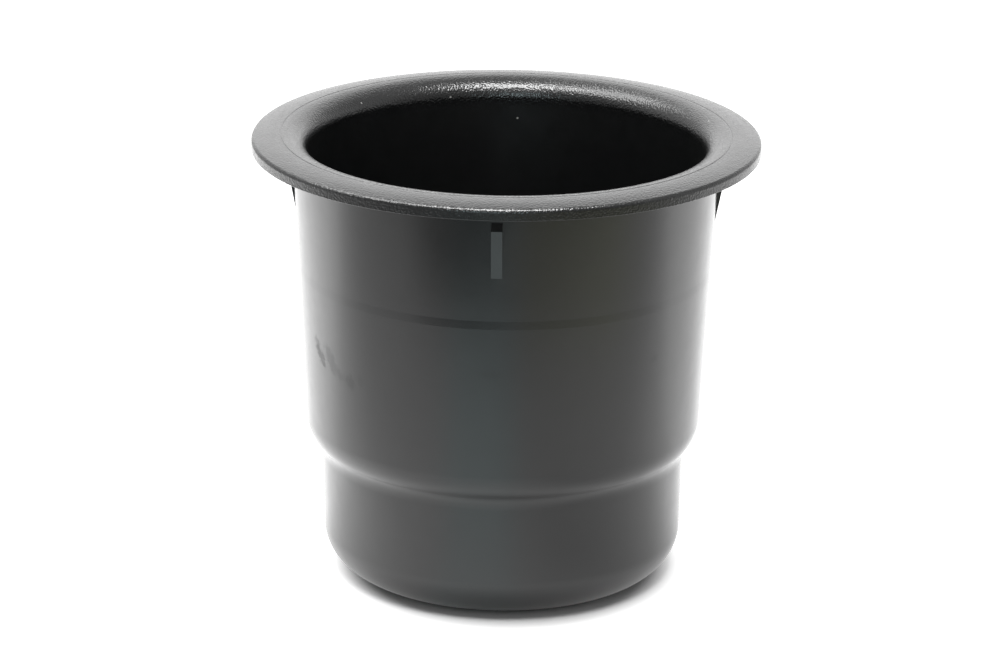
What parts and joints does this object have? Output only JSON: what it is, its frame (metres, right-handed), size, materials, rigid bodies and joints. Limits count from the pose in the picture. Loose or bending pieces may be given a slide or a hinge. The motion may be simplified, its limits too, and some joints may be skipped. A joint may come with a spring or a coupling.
{
  "type": "drop-in cup holder",
  "caption": "Black moulded drop-in cup holder: a crowned round flange, a tapered cup that steps in to a narrower foot, and thin fins below the flange that snap under the edge of a panel hole.",
  "frame": {"origin": "middle of the flat underside, on the surface that the holder stands on", "axes": "+Z is the axis of the cup and points up out of its mouth; +X and +Y each point at a fin"},
  "size_m": [0.108, 0.108, 0.0965],
  "materials": {
    "black_plastic": "satin moulded black plastic, finely grained on the rim and smoother on the cup"
  },
  "bodies": {
    "root": {"cup_holder": "black_plastic"}
  },
  "joints": []
}
